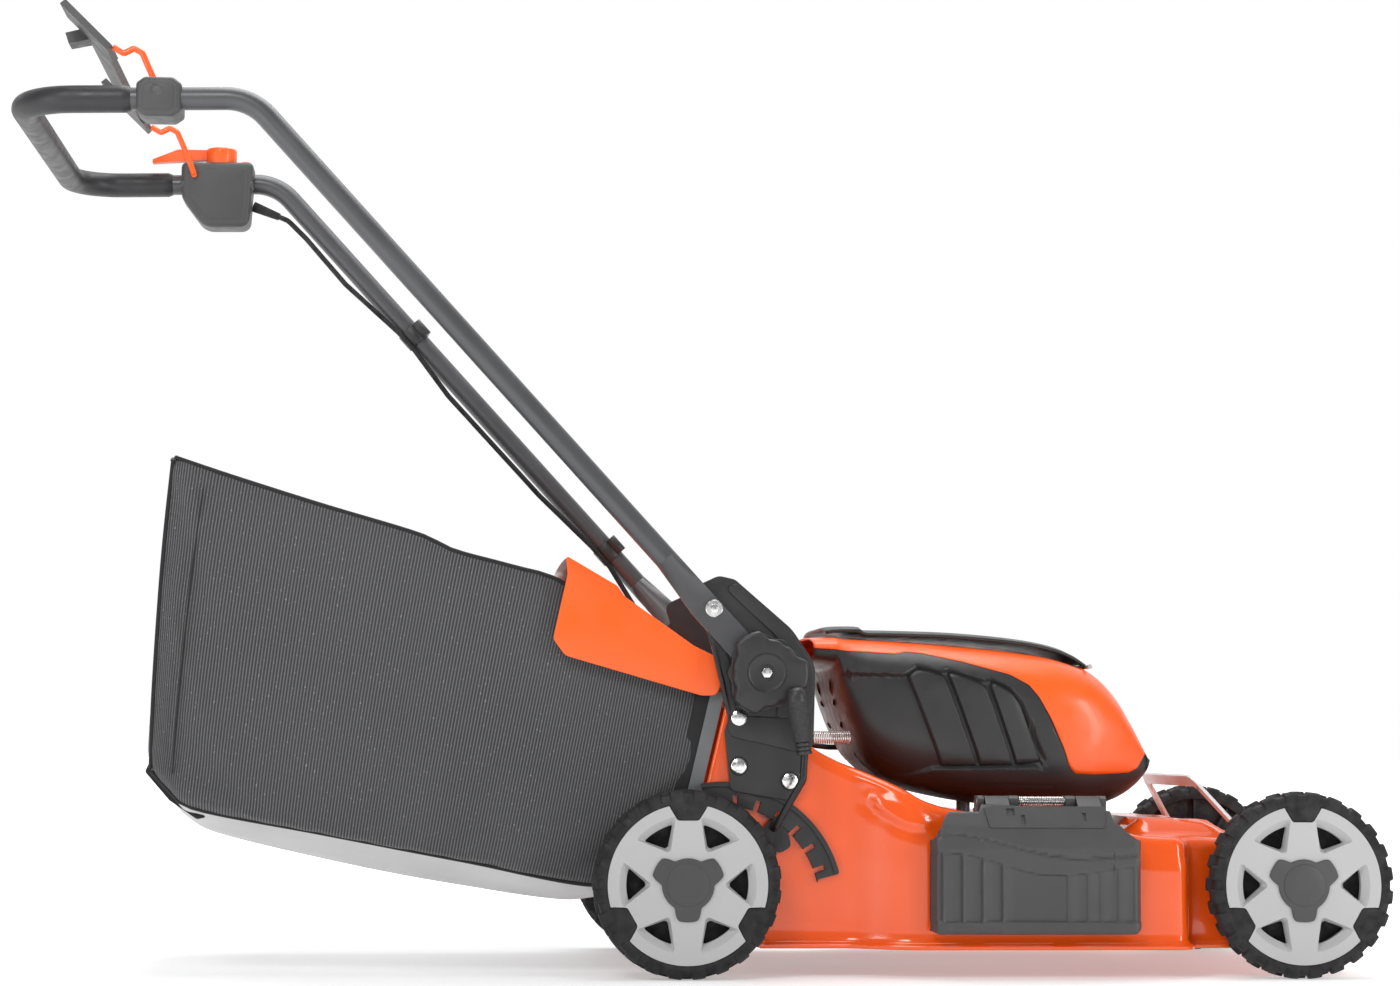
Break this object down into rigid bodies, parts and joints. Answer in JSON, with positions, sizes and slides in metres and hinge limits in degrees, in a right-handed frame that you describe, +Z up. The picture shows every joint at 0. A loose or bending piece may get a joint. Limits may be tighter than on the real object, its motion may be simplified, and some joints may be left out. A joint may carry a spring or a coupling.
{
  "type": "push lawn mower",
  "caption": "Battery push lawn mower with a pressed deck, folding handle, dead-man bail, height lever, rear grass bag and side discharge cover.",
  "frame": {"origin": "on the ground under the middle of the mower at rest", "axes": "+X forward, +Y to the left of the person pushing, +Z up"},
  "size_m": [1.5295, 0.544, 1.065],
  "materials": {
    "deck_orange": "gloss enamel",
    "cover_orange": "smooth moulded plastic",
    "dark_plastic": "fine moulded grain",
    "grey_plastic": "mid-grey moulded grain",
    "rim_grey": "pale satin plastic",
    "tyre_black": "moulded tread",
    "tube_dark": "satin powder coat",
    "foam_black": "foam sleeve",
    "grip_rubber": "textured",
    "zinc": "zinc plated",
    "steel": "plain steel",
    "black_steel": "black coated steel",
    "hoop_alu": "flat bar, satin",
    "bag_mesh": "woven mesh",
    "bag_liner": "coated cloth",
    "bag_frame_grey": "moulded frame",
    "wire_orange": "orange coated wire",
    "cable_black": "cable sheath",
    "board_green": "circuit board",
    "motor_steel": "motor iron"
  },
  "bodies": {
    "chassis": {"deck": "deck_orange", "top_cover": "cover_orange", "motor_base": "dark_plastic", "louvre_panels": "dark_plastic", "battery_bay": "dark_plastic", "side_cover_bracket": "grey_plastic", "side_cover_spring": "steel", "hinge_pins": "steel", "height_quadrant": "dark_plastic", "handle_bracket_left": "dark_plastic", "handle_bracket_right": "dark_plastic", "bracket_bolts": "zinc", "pivot_bolts": "zinc", "assist_spring": "steel", "lift_hoop": "hoop_alu", "cable_lower": "cable_black", "motor_stator": "motor_steel", "controller_board": "board_green"},
    "rear_crank": {"rear_axle_crank": "black_steel", "height_lever_rod": "black_steel", "height_lever_grip": "grip_rubber"},
    "front_crank": {"front_axle_crank": "black_steel"},
    "link": {"height_link_rod": "black_steel"},
    "handle": {"handle_tube": "tube_dark", "foam_grip": "foam_black", "bail_bracket": "grey_plastic", "control_box": "grey_plastic", "cable_clips": "dark_plastic", "control_cable": "cable_black", "cable_gland": "cable_black", "handle_bolts": "zinc"},
    "bail": {"bail_wires": "wire_orange", "bail_bar": "grey_plastic"},
    "speed_lever": {"start_lever": "cover_orange"},
    "button": {"start_button": "cover_orange"},
    "knob_left": {"star_knob_left": "dark_plastic"},
    "knob_right": {"star_knob_right": "dark_plastic"},
    "lid": {"battery_lid": "dark_plastic"},
    "battery_pack": {"battery": "grey_plastic"},
    "discharge_cover": {"side_cover": "grey_plastic"},
    "flap": {"rear_flap": "cover_orange"},
    "bag": {"bag_fabric": "bag_mesh", "bag_frame": "bag_frame_grey", "bag_bottom": "bag_liner"},
    "cutter": {"motor_rotor": "motor_steel", "blade": "steel", "blade_bolt": "zinc"},
    "rear_left_wheel": {"rear_left_tyre": "tyre_black", "rear_left_rim": "rim_grey", "rear_left_hub_cap": "grey_plastic"},
    "rear_right_wheel": {"rear_right_tyre": "tyre_black", "rear_right_rim": "rim_grey", "rear_right_hub_cap": "grey_plastic"},
    "front_left_wheel": {"front_left_tyre": "tyre_black", "front_left_rim": "rim_grey", "front_left_hub_cap": "grey_plastic"},
    "front_right_wheel": {"front_right_tyre": "tyre_black", "front_right_rim": "rim_grey", "front_right_hub_cap": "grey_plastic"}
  },
  "joints": [
    {"name": "height_lever", "type": "hinge", "parent": "chassis", "child": "rear_crank", "pos_m": [0.02465, 0, 0.0785], "axis": [0, 1, 0], "range_deg": [-26, 39]},
    {"name": "front_axle_swing", "type": "hinge", "parent": "chassis", "child": "front_crank", "pos_m": [0.70365, 0, 0.0785], "axis": [0, 1, 0], "range_deg": [-26, 39]},
    {"name": "link_swing", "type": "hinge", "parent": "rear_crank", "child": "link", "pos_m": [0.02465, 0.2075, 0.1185], "axis": [0, 1, 0], "range_deg": [-39, 26]},
    {"name": "rear_left_spin", "type": "hinge", "parent": "rear_crank", "child": "rear_left_wheel", "pos_m": [-0.01675, 0.241, 0.1025], "axis": [0, 1, 0], "continuous": true},
    {"name": "rear_right_spin", "type": "hinge", "parent": "rear_crank", "child": "rear_right_wheel", "pos_m": [-0.01675, -0.241, 0.1025], "axis": [0, 1, 0], "continuous": true},
    {"name": "front_left_spin", "type": "hinge", "parent": "front_crank", "child": "front_left_wheel", "pos_m": [0.66225, 0.241, 0.1025], "axis": [0, 1, 0], "continuous": true},
    {"name": "front_right_spin", "type": "hinge", "parent": "front_crank", "child": "front_right_wheel", "pos_m": [0.66225, -0.241, 0.1025], "axis": [0, 1, 0], "continuous": true},
    {"name": "handle_fold", "type": "hinge", "parent": "chassis", "child": "handle", "pos_m": [0.07015, 0, 0.3323], "axis": [0, 1, 0], "range_deg": [0, 130]},
    {"name": "bail_swing", "type": "hinge", "parent": "handle", "child": "bail", "pos_m": [-0.60025, 0, 0.9576], "axis": [0, 1, 0], "range_deg": [-35, 0], "stiffness_Nm_per_rad": 1.2, "springref_deg": 14.32},
    {"name": "speed_lever_turn", "type": "hinge", "parent": "handle", "child": "speed_lever", "pos_m": [-0.56875, 0.247, 0.985], "axis": [0, 0, 1], "range_deg": [-30, 0]},
    {"name": "button_press", "type": "slide", "parent": "handle", "child": "button", "axis": [0, 0, -1], "range_m": [0, 0.0015], "stiffness_N_per_m": 600, "springref_m": -0.001},
    {"name": "knob_left_turn", "type": "hinge", "parent": "chassis", "child": "knob_left", "pos_m": [0.07015, 0.232, 0.3323], "axis": [0, 1, 0], "continuous": true},
    {"name": "knob_right_turn", "type": "hinge", "parent": "chassis", "child": "knob_right", "pos_m": [0.07015, -0.232, 0.3323], "axis": [0, 1, 0], "continuous": true},
    {"name": "lid_open", "type": "hinge", "parent": "chassis", "child": "lid", "pos_m": [0.45725, 0, 0.345], "axis": [0, 1, 0], "range_deg": [0, 70]},
    {"name": "battery_eject", "type": "slide", "parent": "chassis", "child": "battery_pack", "axis": [0, 0, 1], "range_m": [0, 0.01]},
    {"name": "discharge_cover_open", "type": "hinge", "parent": "chassis", "child": "discharge_cover", "pos_m": [0.37725, -0.222, 0.193], "axis": [-1, 0, 0], "range_deg": [0, 60], "stiffness_Nm_per_rad": 0.3, "springref_deg": -34.38},
    {"name": "flap_open", "type": "hinge", "parent": "chassis", "child": "flap", "pos_m": [0.02525, 0, 0.34], "axis": [0, 1, 0], "range_deg": [0, 70], "stiffness_Nm_per_rad": 0.3, "springref_deg": -28.65},
    {"name": "bag_lift_off", "type": "slide", "parent": "chassis", "child": "bag", "axis": [-0.9781, 0, 0.2079], "range_m": [0, 0.5]},
    {"name": "blade_spin", "type": "hinge", "parent": "chassis", "child": "cutter", "pos_m": [0.32825, 0, 0.074], "axis": [0, 0, 1], "continuous": true}
  ],
  "couplings": [
    {"joint": "front_axle_swing", "follows": "height_lever", "ratio": 1},
    {"joint": "link_swing", "follows": "height_lever", "ratio": -1}
  ]
}
